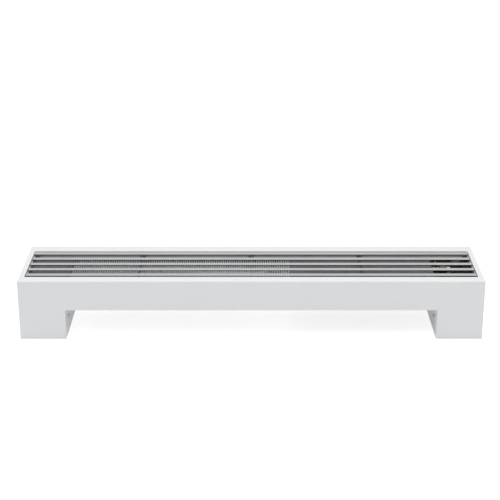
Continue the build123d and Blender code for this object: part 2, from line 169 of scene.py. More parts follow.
class SharedGroups:
    """The shader groups that several finishes use, each built once; scales are in waves per metre."""

    wear_gain = 9.0
    wear_breaks = 160.0
    dust_clumps = 45.0
    finer_grain = 4.0
    finer_share = 0.25
    broad_lines = (0.3, 0.12, 0.12)
    broad_share = 0.35
    wobble_waves = 200.0
    wobble_reach = 0.006
    frost_grain = 3000.0
    crystal_relief = 0.4

    def __init__(self) -> None:
        """Starts with no group built."""
        self.built: dict[str, NodeTree] = {}

    def get(self, name: str) -> NodeTree:
        """Finds a group by its name, and builds it at its first use.

        Args:
            name: The name of one of this class's build methods.

        Returns:
            The group's node tree.
        """
        if name not in self.built:
            build: Callable[[str], NodeTree] = getattr(self, name)
            self.built[name] = build(name)
        return self.built[name]

    def place(self, tree: NodeTree, name: str, links: dict) -> Node:
        """Places a group in a material.

        Args:
            tree: The material's node tree.
            name: The group's name.
            links: The group's inputs, as fill_inputs takes them.

        Returns:
            The group node.
        """
        made = tree.nodes.new("ShaderNodeGroup")
        made.node_tree = self.get(name)
        fill_inputs(tree, made, links)
        return made

    @staticmethod
    def start(name: str, inputs: dict[str, object], outputs: Sequence[str]) -> tuple[NodeTree, Node, Node]:
        """Makes an empty group with its sockets.

        Args:
            name: The group's name.
            inputs: Each input's name and default; a tuple makes a vector input.
            outputs: The names of the value outputs.

        Returns:
            The tree, its input node and its output node.
        """
        tree = bpy.data.node_groups.new(name, "ShaderNodeTree")
        for label, default in inputs.items():
            kind = "NodeSocketVector" if isinstance(default, tuple) else "NodeSocketFloat"
            tree.interface.new_socket(label, in_out="INPUT", socket_type=kind).default_value = default
        for label in outputs:
            tree.interface.new_socket(label, in_out="OUTPUT", socket_type="NodeSocketFloat")
        return tree, tree.nodes.new("NodeGroupInput"), tree.nodes.new("NodeGroupOutput")

    def cloudy_patches(self, name: str) -> NodeTree:
        """Builds soft patches of uneven tone.

        Args:
            name: The group's name.

        Returns:
            The group, with a Mask between 0 and 1.
        """
        tree, given, out = self.start(name, {"Vector": (0, 0, 0), "Scale": 10.0}, ["Mask"])
        cloud = noise(tree, given.outputs["Vector"], given.outputs["Scale"], detail=4.0, rough=0.6)
        tree.links.new(remap(tree, cloud, (0.3, 0.7), (0.0, 1.0)), out.inputs["Mask"])
        return tree

    def edge_wear(self, name: str) -> NodeTree:
        """Builds a broken line along the piece's outer edges.

        Args:
            name: The group's name.

        Returns:
            The group, with a Mask between 0 and 1.
        """
        inputs = {"Vector": (0, 0, 0), "Radius": 0.001, "Amount": 0.5}
        tree, given, out = self.start(name, inputs, ["Mask"])
        rounded = add_node(tree, "ShaderNodeBevel", {"Radius": given.outputs["Radius"]}, samples=6)
        surface = tree.nodes.new("ShaderNodeNewGeometry").outputs["Normal"]
        normals = {0: rounded.outputs[0], 1: surface}
        dot = add_node(tree, "ShaderNodeVectorMath", normals, operation="DOT_PRODUCT")
        turned = maths(tree, "SUBTRACT", 1.0, dot.outputs["Value"])
        breaks = noise(tree, given.outputs["Vector"], self.wear_breaks, detail=5.0, rough=0.7)
        broken = remap(tree, breaks, (0.4, 0.62), (0.0, 1.0))
        worn = maths(tree, "MULTIPLY", maths(tree, "MULTIPLY", turned, self.wear_gain, clamp=True), broken)
        mask = maths(tree, "MULTIPLY", worn, given.outputs["Amount"], clamp=True)
        tree.links.new(mask, out.inputs["Mask"])
        return tree

    def settled_dust(self, name: str) -> NodeTree:
        """Builds thin dust on faces that look up.

        Args:
            name: The group's name.

        Returns:
            The group, with a Mask between 0 and 1.
        """
        tree, given, out = self.start(name, {"Vector": (0, 0, 0), "Amount": 0.2}, ["Mask"])
        surface = tree.nodes.new("ShaderNodeNewGeometry").outputs["Normal"]
        up = add_node(tree, "ShaderNodeSeparateXYZ", {0: surface}).outputs["Z"]
        facing = remap(tree, up, (0.5, 1.0), (0.0, 1.0))
        clumps = noise(tree, given.outputs["Vector"], self.dust_clumps, detail=6.0, rough=0.65)
        layer = maths(tree, "MULTIPLY", facing, remap(tree, clumps, (0.35, 0.7), (0.2, 1.0)))
        mask = maths(tree, "MULTIPLY", layer, given.outputs["Amount"], clamp=True)
        tree.links.new(mask, out.inputs["Mask"])
        return tree

    def orange_peel(self, name: str) -> NodeTree:
        """Builds the fine ripple of powder coat.

        Args:
            name: The group's name.

        Returns:
            The group, with Height and Shade.
        """
        tree, given, out = self.start(name, {"Vector": (0, 0, 0), "Scale": 700.0}, ["Height", "Shade"])
        place, scale = given.outputs["Vector"], given.outputs["Scale"]
        ripple = noise(tree, place, scale, detail=1.0)
        grains = noise(tree, place, maths(tree, "MULTIPLY", scale, self.finer_grain))
        height = maths(tree, "ADD", ripple, maths(tree, "MULTIPLY", grains, self.finer_share))
        tree.links.new(height, out.inputs["Height"])
        tree.links.new(remap(tree, grains, (0.3, 0.7), (0.0, 1.0)), out.inputs["Shade"])
        return tree

    def brush_lines(self, name: str) -> NodeTree:
        """Builds fine lines drawn along the stretched axis.

        Args:
            name: The group's name.

        Returns:
            The group, with Height and Shade.
        """
        inputs = {"Vector": (0, 0, 0), "Scale": 1.0, "Stretch": (6.0, 2600.0, 2600.0)}
        tree, given, out = self.start(name, inputs, ["Height", "Shade"])
        place = stretched(tree, given.outputs["Vector"], given.outputs["Stretch"])
        fine = noise(tree, place, given.outputs["Scale"], detail=3.0, rough=0.7)
        broad = noise(tree, stretched(tree, place, self.broad_lines), given.outputs["Scale"])
        both = maths(tree, "ADD", maths(tree, "MULTIPLY", fine, 1.0 - self.broad_share),
                     maths(tree, "MULTIPLY", broad, self.broad_share))
        tree.links.new(fine, out.inputs["Height"])
        tree.links.new(remap(tree, both, (0.35, 0.65), (0.0, 1.0)), out.inputs["Shade"])
        return tree

    def zinc_spangle(self, name: str) -> NodeTree:
        """Builds the frosted crystal patches of hot-dip zinc.

        Args:
            name: The group's name.

        Returns:
            The group, with Height and Shade.
        """
        tree, given, out = self.start(name, {"Vector": (0, 0, 0), "Scale": 150.0}, ["Height", "Shade"])
        place = given.outputs["Vector"]
        wobble = maths(tree, "MULTIPLY", noise(tree, place, self.wobble_waves), self.wobble_reach)
        bent = add_node(tree, "ShaderNodeVectorMath", {0: place, 1: wobble}, operation="ADD")
        links = {"Vector": bent.outputs[0], "Scale": given.outputs["Scale"]}
        cells = add_node(tree, "ShaderNodeTexVoronoi", links)
        tone = add_node(tree, "ShaderNodeSeparateColor", {0: cells.outputs["Color"]}).outputs[0]
        crystals = maths(tree, "MULTIPLY", tone, self.crystal_relief)
        height = maths(tree, "ADD", noise(tree, place, self.frost_grain), crystals)
        tree.links.new(height, out.inputs["Height"])
        tree.links.new(tone, out.inputs["Shade"])
        return tree

    def cast_grain(self, name: str) -> NodeTree:
        """Builds an even fine grain, as on castings, rubber and moulded plastic.

        Args:
            name: The group's name.

        Returns:
            The group, with Height and Shade.
        """
        tree, given, out = self.start(name, {"Vector": (0, 0, 0), "Scale": 1500.0}, ["Height", "Shade"])
        grain = noise(tree, given.outputs["Vector"], given.outputs["Scale"], detail=4.0, rough=0.65)
        tree.links.new(grain, out.inputs["Height"])
        tree.links.new(remap(tree, grain, (0.35, 0.65), (0.0, 1.0)), out.inputs["Shade"])
        return tree


GROUPS = SharedGroups()


# Finishes

class Texture(Enum):
    """The surface relief of a finish, by the name of its shader group."""

    ORANGE_PEEL = "orange_peel"
    BRUSHED = "brush_lines"
    SPANGLE = "zinc_spangle"
    GRAIN = "cast_grain"


def rgba(colour: Colour) -> tuple[float, float, float, float]:
    """Gives a colour its alpha."""
    return (*colour, 1.0)


@dataclass(frozen=True)
class Finish:
    """How one finish looks: its tones, gloss, relief, wear and dust."""

    name: str
    colour: Colour
    shaded: Colour
    texture: Texture
    scale: float
    relief: float
    roughness: tuple[float, float]
    metallic: float = 0.0
    patch_scale: float = 14.0
    shade_share: float = 0.25
    worn: Colour = (0.7, 0.7, 0.7)
    wear: float = 0.0
    wear_radius: float = 0.8
    dust: float = 0.0
    coat: float = 0.0
    stretch: Point = (6.0, 2600.0, 2600.0)

    dust_colour = (0.46, 0.44, 0.41)

    def build(self) -> Material:
        """Makes the material from its groups.

        Returns:
            The material, ready for a piece.
        """
        material = bpy.data.materials.new(self.name)
        material.use_nodes = True
        tree = material.node_tree
        shader = tree.nodes["Principled BSDF"]
        shader.inputs["Metallic"].default_value = self.metallic
        shader.inputs["Coat Weight"].default_value = self.coat
        place = tree.nodes.new("ShaderNodeTexCoord").outputs["Object"]
        links = {"Vector": place, "Scale": self.patch_scale}
        patches = GROUPS.place(tree, "cloudy_patches", links).outputs["Mask"]
        links = {"Vector": place, "Scale": self.scale}
        if self.texture is Texture.BRUSHED:
            links["Stretch"] = self.stretch
        grain = GROUPS.place(tree, self.texture.value, links)
        fine = maths(tree, "MULTIPLY", grain.outputs["Shade"], self.shade_share)
        coarse = maths(tree, "MULTIPLY", patches, 1.0 - self.shade_share)
        mask = maths(tree, "ADD", fine, coarse, clamp=True)
        tone = blend_colours(tree, mask, rgba(self.colour), rgba(self.shaded))
        if self.wear:
            links = {"Vector": place, "Radius": self.wear_radius * MM, "Amount": self.wear}
            worn = GROUPS.place(tree, "edge_wear", links).outputs["Mask"]
            tone = blend_colours(tree, worn, tone, rgba(self.worn))
        if self.dust:
            dusty = GROUPS.place(tree, "settled_dust", {"Vector": place, "Amount": self.dust}).outputs["Mask"]
            tone = blend_colours(tree, dusty, tone, rgba(self.dust_colour))
        links = {"Distance": self.relief * MM, "Height": grain.outputs["Height"]}
        bump = add_node(tree, "ShaderNodeBump", links)
        tree.links.new(tone, shader.inputs["Base Color"])
        tree.links.new(remap(tree, mask, (0.0, 1.0), self.roughness), shader.inputs["Roughness"])
        tree.links.new(bump.outputs["Normal"], shader.inputs["Normal"])
        return material


class Finishes:
    """All finishes of the convector, each made into a material at its first use."""

    table = (
        Finish("white_powder_coat", (0.80, 0.81, 0.82), (0.785, 0.797, 0.81), Texture.ORANGE_PEEL, 700.0,
               0.012, (0.36, 0.44), shade_share=0.15, worn=(0.86, 0.86, 0.86), wear=0.25, dust=0.03),
        # Painted shade: a dark grey standing in for the shade inside the casing's recess, on the shell's
        # inner side and on the lip and ledges below the white rim.
        Finish("recess_painted_shade", (0.38, 0.383, 0.387), (0.32, 0.322, 0.326), Texture.ORANGE_PEEL, 600.0, 0.02,
               (0.55, 0.7), dust=0.12),
        Finish("satin_aluminium", (0.525, 0.53, 0.54), (0.455, 0.46, 0.47), Texture.BRUSHED, 1.0, 0.006,
               (0.30, 0.42), metallic=1.0, patch_scale=6.0, shade_share=0.5, worn=(0.85, 0.85, 0.86),
               wear=0.3, wear_radius=0.5, dust=0.04),
        # Painted shade: near-black aluminium on the bars' sides and underside stands in for the shade there.
        Finish("bar_side_painted_shade", (0.09, 0.092, 0.096), (0.07, 0.072, 0.076), Texture.BRUSHED, 1.0, 0.008,
               (0.45, 0.6), metallic=1.0, shade_share=0.5),
        Finish("fin_aluminium", (0.72, 0.73, 0.74), (0.60, 0.61, 0.63), Texture.BRUSHED, 1.0, 0.01,
               (0.45, 0.6), metallic=0.6, dust=0.3, stretch=(900.0, 20.0, 900.0)),
        Finish("galvanised_steel", (0.52, 0.53, 0.54), (0.38, 0.39, 0.41), Texture.SPANGLE, 150.0, 0.01,
               (0.38, 0.6), metallic=1.0, shade_share=0.6, worn=(0.7, 0.7, 0.7), wear=0.5, dust=0.25),
        Finish("zinc_plated_steel", (0.62, 0.62, 0.60), (0.5, 0.5, 0.47), Texture.GRAIN, 900.0, 0.01,
               (0.28, 0.42), metallic=1.0, worn=(0.75, 0.75, 0.74), wear=0.5, wear_radius=0.4),
        # Partly painted shade: dark grey paint on the blanking plates and grille rails, made darker to stand
        # in for the shade down the grille's gaps.
        Finish("grey_plate", (0.090, 0.093, 0.100), (0.066, 0.069, 0.075), Texture.ORANGE_PEEL, 500.0, 0.03,
               (0.5, 0.68), worn=(0.3, 0.3, 0.3), wear=0.3, dust=0.12),
        Finish("black_rubber", (0.03, 0.03, 0.03), (0.05, 0.05, 0.05), Texture.GRAIN, 1800.0, 0.03,
               (0.7, 0.85), dust=0.3),
        # Partly painted shade: copper darkened below its own colour to stand in for the shade where the tubes
        # sit inside the casing.
        Finish("copper", (0.50, 0.27, 0.18), (0.30, 0.16, 0.11), Texture.BRUSHED, 1.0, 0.006,
               (0.25, 0.45), metallic=1.0, patch_scale=25.0, worn=(0.85, 0.5, 0.36), wear=0.4, dust=0.15,
               stretch=(20.0, 1500.0, 1500.0)),
        # Partly painted shade: brass darkened far below its own colour to stand in for the shade in the valve
        # compartment.
        Finish("brass", (0.19, 0.15, 0.10), (0.12, 0.09, 0.06), Texture.GRAIN, 1200.0, 0.008,
               (0.25, 0.42), metallic=1.0, patch_scale=60.0, worn=(0.35, 0.28, 0.18), wear=0.4,
               wear_radius=0.5, dust=0.12),
        # Partly painted shade: nickel darkened below its own colour to stand in for the shade in the valve
        # compartment.
        Finish("nickel_plated_brass", (0.40, 0.39, 0.36), (0.29, 0.28, 0.26), Texture.GRAIN, 1000.0, 0.012,
               (0.22, 0.4), metallic=1.0, patch_scale=50.0, worn=(0.55, 0.48, 0.34), wear=0.4,
               wear_radius=0.5, dust=0.1),
        Finish("spindle_steel", (0.60, 0.60, 0.60), (0.48, 0.48, 0.48), Texture.BRUSHED, 1.0, 0.004,
               (0.2, 0.35), metallic=1.0, stretch=(60.0, 60.0, 3000.0)),
        Finish("black_plastic", (0.045, 0.045, 0.047), (0.06, 0.06, 0.062), Texture.GRAIN, 1600.0, 0.02,
               (0.42, 0.55), patch_scale=70.0, worn=(0.16, 0.16, 0.16), wear=0.35, wear_radius=0.5,
               dust=0.08),
        Finish("marking_white", (0.70, 0.70, 0.69), (0.60, 0.60, 0.59), Texture.GRAIN, 1600.0, 0.01,
               (0.5, 0.6)),
    )

    def __init__(self) -> None:
        """Starts with no material made."""
        self.made: dict[str, Material] = {}

    def get(self, name: str) -> Material:
        """Finds a finish by its name.

        Args:
            name: The finish's name.

        Returns:
            Its material.
        """
        if name not in self.made:
            self.made[name] = next(finish for finish in self.table if finish.name == name).build()
        return self.made[name]


FINISHES = Finishes()


# Mesh helpers: every shape is worked out in millimetres

@dataclass(frozen=True)
class Role:
    """What a new piece stands for: its body, its finish and the modelled nodes that it replaces."""

    body: str
    finish: str
    nodes: tuple[str, ...] = ()


SMOOTH_ANGLE = math.radians(38)
FLAT_ANGLE = math.radians(0.5)
TRIANGLE_WELD = 0.004
SEAM_WELD = 0.001
LEVEL_TOLERANCE = 0.01
FINE_EDGE_FACES = 3


def add_piece(name: str, shape: BMesh, role: Role, second_finish: str = "", wall: float = 0.0,
              edge: float = 0.0) -> Object:
    """Turns a shape into a finished piece of the convector.

    Args:
        name: The piece's name.
        shape: Its mesh in millimetres, which is used up.
        role: The piece's body, finish and replaced nodes.
        second_finish: The finish of the faces numbered 1, and of the inner side of a wall.
        wall: The wall's thickness in millimetres, or 0 for a solid shape.
        edge: How far the edges of the wall are rounded, or 0.

    Returns:
        The piece's object.
    """
    bmesh.ops.scale(shape, vec=(MM, MM, MM), verts=shape.verts)
    mesh = bpy.data.meshes.new(name)
    shape.to_mesh(mesh)
    shape.free()
    stored = mesh.attributes.get("custom_normal")
    if stored:
        mesh.attributes.remove(stored)
    mesh.materials.append(FINISHES.get(role.finish))
    if second_finish:
        mesh.materials.append(FINISHES.get(second_finish))
    mesh.shade_smooth()
    mesh.set_sharp_from_angle(angle=SMOOTH_ANGLE)
    piece = bpy.data.objects.new(name, mesh)
    bpy.context.scene.collection.objects.link(piece)
    if wall:
        sheet = piece.modifiers.new("sheet", "SOLIDIFY")
        sheet.thickness = wall * MM
        sheet.offset = -1.0
        sheet.use_even_offset = True
        sheet.material_offset = 1 if second_finish else 0
        sheet.material_offset_rim = 0
    if edge:
        rounded = piece.modifiers.new("rounded_edges", "BEVEL")
        rounded.width = edge * MM
        rounded.segments = FINE_EDGE_FACES
        rounded.limit_method = "ANGLE"
        rounded.angle_limit = SMOOTH_ANGLE
    weighted = piece.modifiers.new("flat_faces_stay_flat", "WEIGHTED_NORMAL")
    weighted.keep_sharp = True
    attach(piece, role.body)
    if role.nodes:
        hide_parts(*role.nodes)
    LOG.info("%s rides on %s in %s", name, role.body, role.finish)
    return piece


def block(centre: Point, size: Point, edge: float, segments: int = 2) -> BMesh:
    """Makes a box with softened edges.

    Args:
        centre: The middle of the box.
        size: Its length on each axis.
        edge: The radius of its edges.
        segments: How many faces round each edge.

    Returns:
        The shape.
    """
    shape = bmesh.new()
    bmesh.ops.create_cube(shape, size=1.0)
    bmesh.ops.scale(shape, vec=size, verts=shape.verts)
    bmesh.ops.translate(shape, vec=centre, verts=shape.verts)
    soften(shape, shape.edges[:], edge, segments)
    return shape


def soften(shape: BMesh, edges: Sequence[BMEdge], radius: float, segments: int = 2) -> None:
    """Rounds edges.

    Args:
        shape: The mesh to change.
        edges: Its edges to round.
        radius: How far the rounding reaches on each side.
        segments: How many faces round each edge.
    """
    bmesh.ops.bevel(shape, geom=edges, offset=radius, affect="EDGES", segments=segments, profile=0.5,
                    material=-1, clamp_overlap=False)


def sharp_edges(shape: BMesh, least: float = 40.0) -> list[BMEdge]:
    """Finds the edges where two faces meet at an angle.

    Args:
        shape: The mesh to search.
        least: The smallest angle between the faces' normals, in degrees.

    Returns:
        These edges.
    """
    limit = math.radians(least)
    return [edge for edge in shape.edges if edge.is_manifold and edge.calc_face_angle() > limit]


def softened_node(node: str, edge: float, segments: int = 2) -> BMesh:
    """Copies a modelled node with its sharp edges rounded.

    Args:
        node: The node's name.
        edge: The radius of its edges, or 0 to keep them.
        segments: How many faces round each edge.

    Returns:
        The shape, its triangles merged into whole faces.
    """
    shape = bmesh.new()
    shape.from_mesh(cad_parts[node].data)
    bmesh.ops.scale(shape, vec=(1 / MM, 1 / MM, 1 / MM), verts=shape.verts)
    bmesh.ops.remove_doubles(shape, verts=shape.verts, dist=TRIANGLE_WELD)
    bmesh.ops.dissolve_limit(shape, angle_limit=FLAT_ANGLE, verts=shape.verts, edges=shape.edges)
    if edge:
        soften(shape, sharp_edges(shape), edge, segments)
    return shape


@dataclass
class SubAssembly:
    """A group of pieces on one body, most of them softened copies of their modelled nodes."""

    body: str = "casing"
    softened: dict[str, tuple[str, float]] = field(default_factory=dict)

    def build_softened(self) -> None:
        """Builds the softened copies, each from its finish and edge radius."""
        for node, (finish, edge) in self.softened.items():
            add_piece(f"{node}_finished", softened_node(node, edge), Role(self.body, finish, (node,)))

    def build(self) -> None:
        """Builds every piece of the sub-assembly."""
        self.build_softened()


@dataclass
class Casing(SubAssembly):
    """The white sheet-steel casing: body, top flanges, ledges, bottom returns and two box legs."""

    length: float = 1000.0
    depth: float = 200.0
    height: float = 135.0
    sheet: float = 1.5
    fold_radius: float = 0.7
    leg_width: float = 100.0
    leg_height: float = 68.0
    opening: tuple[float, float, float] = (488.0, -74.0, 71.0)
    return_width: float = 12.0
    ledge_level: float = 122.0
    ledge_width: float = 7.0
    painted_rim: float = 4.5
    earthing_screw: Point = (413.0, 67.3, 122.0)
    earthing_radii: tuple[float, float] = (3.2, 3.0)
    earthing_height: float = 1.8
    earthing_rise: float = 0.8
    earthing_edge: float = 0.7
    softened: dict[str, tuple[str, float]] = field(default_factory=lambda: {
        "casing_screws": ("white_powder_coat", 0.3),
    })

    def portal(self) -> BMesh:
        """Makes the closed outer form, a low portal on two legs.

        Returns:
            The shape with the legs' undersides left open.
        """
        shape = bmesh.new()
        end, leg = self.length / 2, self.length / 2 - self.leg_width
        outline = ((-end, 0.0), (-leg, 0.0), (-leg, self.leg_height), (leg, self.leg_height), (leg, 0.0),
                   (end, 0.0), (end, self.height), (-end, self.height))
        front = shape.faces.new([shape.verts.new((x, -self.depth / 2, z)) for x, z in outline])
        made = bmesh.ops.extrude_face_region(shape, geom=[front])["geom"]
        back = [item for item in made if isinstance(item, BMVert)]
        bmesh.ops.translate(shape, vec=(0.0, self.depth, 0.0), verts=back)
        bmesh.ops.recalc_face_normals(shape, faces=shape.faces)
        soles = [face for face in shape.faces if face.calc_center_median().z < LEVEL_TOLERANCE]
        bmesh.ops.delete(shape, geom=soles, context="FACES_ONLY")
        return shape

    @staticmethod
    def cut_out(shape: BMesh, level: float, reach: float, rows: tuple[float, float]) -> None:
        """Cuts a rectangular hole in the level faces at one height.

        Args:
            shape: The mesh to cut.
            level: The height of the faces.
            reach: The hole's half length along X.
            rows: The hole's lowest and highest Y.
        """
        cuts = (((-reach, 0, 0), (1, 0, 0)), ((reach, 0, 0), (1, 0, 0)),
                ((0, rows[0], 0), (0, 1, 0)), ((0, rows[1], 0), (0, 1, 0)))

        def flat_faces() -> list[BMFace]:
            """Finds the level faces as they are now."""
            return [face for face in shape.faces
                    if all(abs(v.co.z - level) < LEVEL_TOLERANCE for v in face.verts)]

        for place, normal in cuts:
            faces = flat_faces()
            parts = {item for face in faces for item in (face, *face.edges, *face.verts)}
            bmesh.ops.bisect_plane(shape, geom=list(parts), dist=SEAM_WELD, plane_co=place, plane_no=normal)
        middle = [face for face in flat_faces() if abs(face.calc_center_median().x) < reach
                  and rows[0] < face.calc_center_median().y < rows[1]]
        bmesh.ops.delete(shape, geom=middle, context="FACES_ONLY")
        bmesh.ops.delete(shape, geom=[edge for edge in shape.edges if not edge.link_faces], context="EDGES")

    def fold_ledges(self, shape: BMesh) -> None:
        """Folds the opening's rim down and turns its long sides inwards as ledges for the grille; below a
        white rim the lip and the ledges get painted shade.

        Args:
            shape: The mesh with the opening cut.
        """
        rim = [edge for edge in shape.edges if edge.is_boundary
               and all(abs(v.co.z - self.height) < LEVEL_TOLERANCE for v in edge.verts)]
        lit = self.extruded(shape, rim, (0.0, 0.0, -self.painted_rim), 0)
        # Painted shade: the lip below the white rim and the ledges take material 1, a dark grey standing in
        # for the shade in the recess.
        lower = self.extruded(shape, lit, (0.0, 0.0, self.ledge_level - self.height + self.painted_rim), 1)
        for row, inward in ((self.opening[1], self.ledge_width), (self.opening[2], -self.ledge_width)):
            side = [edge for edge in lower if all(abs(v.co.y - row) < LEVEL_TOLERANCE for v in edge.verts)]
            self.extruded(shape, side, (0.0, inward, 0.0), 1)

    @staticmethod
    def extruded(shape: BMesh, edges: Sequence[BMEdge], step: Point, finish: int) -> list[BMEdge]:
        """Draws edges out into faces.

        Args:
            shape: The mesh to change.
            edges: The edges to draw out.
            step: How far they go.
            finish: The number of the new faces' material.

        Returns:
            The edges at the far side.
        """
        made = bmesh.ops.extrude_edge_only(shape, edges=edges)["geom"]
        ends = [item for item in made if isinstance(item, BMVert)]
        bmesh.ops.translate(shape, vec=step, verts=ends)
        for item in made:
            if isinstance(item, BMFace):
                item.material_index = finish
        return [item for item in made if isinstance(item, BMEdge) and all(v in ends for v in item.verts)]

    def build_earthing_screw(self) -> Object:
        """Builds the small domed screw on the back ledge.

        Returns:
            The screw's piece.
        """
        shape = bmesh.new()
        bmesh.ops.create_cone(shape, cap_ends=True, segments=24, radius1=self.earthing_radii[0],
                              radius2=self.earthing_radii[1], depth=self.earthing_height)
        bmesh.ops.translate(shape, vec=(0.0, 0.0, self.earthing_rise), verts=shape.verts)
        soften(shape, sharp_edges(shape), self.earthing_edge, FINE_EDGE_FACES)
        bmesh.ops.translate(shape, vec=self.earthing_screw, verts=shape.verts)
        return add_piece("earthing_screw", shape, Role(self.body, "zinc_plated_steel"))

    def build_shell(self) -> Object:
        """Builds the casing as one welded sheet shell.

        Returns:
            The shell's piece.
        """
        shape = self.portal()
        self.cut_out(shape, self.height, self.opening[0], self.opening[1:])
        inner = self.length / 2 - self.leg_width - self.return_width
        rows = (self.return_width - self.depth / 2, self.depth / 2 - self.return_width)
        self.cut_out(shape, self.leg_height, inner, rows)
        self.fold_ledges(shape)
        bmesh.ops.recalc_face_normals(shape, faces=shape.faces)
        nodes = ("front_panel", "back_panel", "end_panel_right", "end_panel_left", "leg_inner_panel_right",
                 "leg_inner_panel_left")
        role = Role(self.body, "white_powder_coat", nodes)
        # The second finish puts painted shade on the sheet's inner side and on the lower lip and ledges.
        return add_piece("casing_shell", shape, role, second_finish="recess_painted_shade", wall=self.sheet,
                         edge=self.fold_radius)

    def build(self) -> None:
        """Builds the shell and its screws."""
        self.build_shell()
        self.build_earthing_screw()
        self.build_softened()


@dataclass
class Grille(SubAssembly):
    """The loose air grille: five flat bars on cross rails and two end profiles."""

    body: str = "grille"
    reach: float = 486.0
    bar_width: float = 11.5
    bar_thickness: float = 2.0
    top: float = 135.0
    first_row: float = -61.0
    pitch: float = 29.75
    bars: int = 5
    bar_edge: float = 0.45
    facing_up: float = 0.6
    softened: dict[str, tuple[str, float]] = field(default_factory=lambda: {
        "grille_rail_1": ("grey_plate", 0.2),
        "grille_rail_2": ("grey_plate", 0.2),
        "grille_rail_3": ("grey_plate", 0.2),
        "grille_end_profile_left": ("satin_aluminium", 0.25),
        "grille_end_profile_right": ("satin_aluminium", 0.25),
    })

    def build_bar(self, number: int) -> Object:
        """Builds one flat bar, its top in satin aluminium and its sides and underside in painted shade.

        Args:
            number: The bar's number, from 1 at the front.

        Returns:
            The bar's piece.
        """
        row = self.first_row + (number - 1) * self.pitch
        centre = (0.0, row, self.top - self.bar_thickness / 2)
        size = (2 * self.reach, self.bar_width, self.bar_thickness)
        shape = block(centre, size, self.bar_edge, FINE_EDGE_FACES)
        # Painted shade: faces that don't look up get the near-black side finish standing in for shade; only
        # the tops stay light.
        for face in shape.faces:
            face.material_index = 0 if face.normal.z > self.facing_up else 1
        role = Role(self.body, "satin_aluminium", (f"grille_bar_{number}",))
        return add_piece(f"grille_bar_{number}_finished", shape, role, second_finish="bar_side_painted_shade")

    def build(self) -> None:
        """Builds the bars, rails and end profiles."""
        for number in range(1, self.bars + 1):
            self.build_bar(number)
        self.build_softened()


@dataclass
class Supports(SubAssembly):
    """What carries the exchanger and closes the gaps beside it."""

    softened: dict[str, tuple[str, float]] = field(default_factory=lambda: {
        "foot_bracket_right": ("galvanised_steel", 0.3),
        "foot_bracket_left": ("galvanised_steel", 0.3),
        "cradle_rail": ("galvanised_steel", 0.4),
        "isolation_pads": ("black_rubber", 0.4),
        "tube_grommets": ("black_rubber", 0.3),
        "grille_pads": ("black_rubber", 0.25),
        # The blanking plates' dark grey is partly painted shade, standing in for the shade under the grille.
        "blanking_plate_left": ("grey_plate", 0.2),
        "blanking_plate_middle": ("grey_plate", 0.2),
        "plate_rivets": ("zinc_plated_steel", 0.3),
    })


@dataclass
class Exchanger(SubAssembly):
    """The fins, their end plates and the copper tubes."""

    tube_level: float = 94.5
    tube_radius: float = 7.5
    tube_rows: tuple[float, ...] = (-60.0, -20.0, 20.0, 60.0)
    collar_radius: float = 7.9
    fins_from: float = -394.0
    fins_to: float = 81.4
    ring_radius: float = 1.0
    ring_place: float = 93.2
    ring_rows: tuple[float, float] = (-20.0, 20.0)
    ring_shape: Point = (1.5, 0.8, 1.0)
    ring_rise: float = 0.2
    collar_edge: float = 0.2
    softened: dict[str, tuple[str, float]] = field(default_factory=lambda: {
        "exchanger_end_plate_left": ("galvanised_steel", 0.25),
        "exchanger_end_plate_right": ("galvanised_steel", 0.25),
        "flow_tube": ("copper", 0.2),
        "return_tube": ("copper", 0.2),
        "middle_tube_front": ("copper", 0.2),
        "middle_tube_back": ("copper", 0.2),
        "return_bend_left_front": ("copper", 0.0),
        "return_bend_left_back": ("copper", 0.0),
        "return_bend_right": ("copper", 0.0),
    })

    def build_brazing_ring(self, name: str, row: float) -> Object:
        """Builds the bead of solder where a bend joins its tube.

        Args:
            name: The piece's name.
            row: The tube's Y.

        Returns:
            The ring's piece.
        """
        shape = bmesh.new()
        bmesh.ops.create_circle(shape, cap_ends=False, radius=self.ring_radius, segments=10)
        bmesh.ops.scale(shape, vec=self.ring_shape, verts=shape.verts)
        start = (self.ring_place, row + self.tube_radius + self.ring_rise, self.tube_level)
        bmesh.ops.translate(shape, vec=start, verts=shape.verts)
        centre = (self.ring_place, row, self.tube_level)
        bmesh.ops.spin(shape, geom=shape.edges[:] + shape.verts[:], cent=centre, axis=(1.0, 0.0, 0.0),
                       dvec=(0.0, 0.0, 0.0), angle=math.tau, steps=36, use_merge=True)
        bmesh.ops.remove_doubles(shape, verts=shape.verts, dist=SEAM_WELD)
        bmesh.ops.recalc_face_normals(shape, faces=shape.faces)
        return add_piece(name, shape, Role(self.body, "zinc_plated_steel"))

    def build_collars(self) -> Object:
        """Builds the fins' drawn collars, which meet and cover the tubes between the fins.

        Returns:
            The collars' piece.
        """
        shape = bmesh.new()
        length = self.fins_to - self.fins_from
        middle = (self.fins_from + self.fins_to) / 2
        turn = Matrix.Rotation(math.pi / 2, 3, "Y")
        for row in self.tube_rows:
            made = bmesh.ops.create_cone(shape, cap_ends=True, segments=32, radius1=self.collar_radius,
                                         radius2=self.collar_radius, depth=length)["verts"]
            bmesh.ops.rotate(shape, cent=(0.0, 0.0, 0.0), matrix=turn, verts=made)
            bmesh.ops.translate(shape, vec=(middle, row, self.tube_level), verts=made)
        soften(shape, sharp_edges(shape), self.collar_edge)
        return add_piece("fin_collars", shape, Role(self.body, "fin_aluminium"))

    def build(self) -> None:
        """Dresses the fins and builds the plates, tubes, collars and brazing rings."""
        self.build_collars()
        self.build_softened()
        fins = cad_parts["fin_pack"]
        fins.data.materials.clear()
        fins.data.materials.append(FINISHES.get("fin_aluminium"))
        LOG.info("fin_pack dressed in fin_aluminium")
        for name, row in zip(("brazing_ring_front", "brazing_ring_back"), self.ring_rows):
            self.build_brazing_ring(name, row)


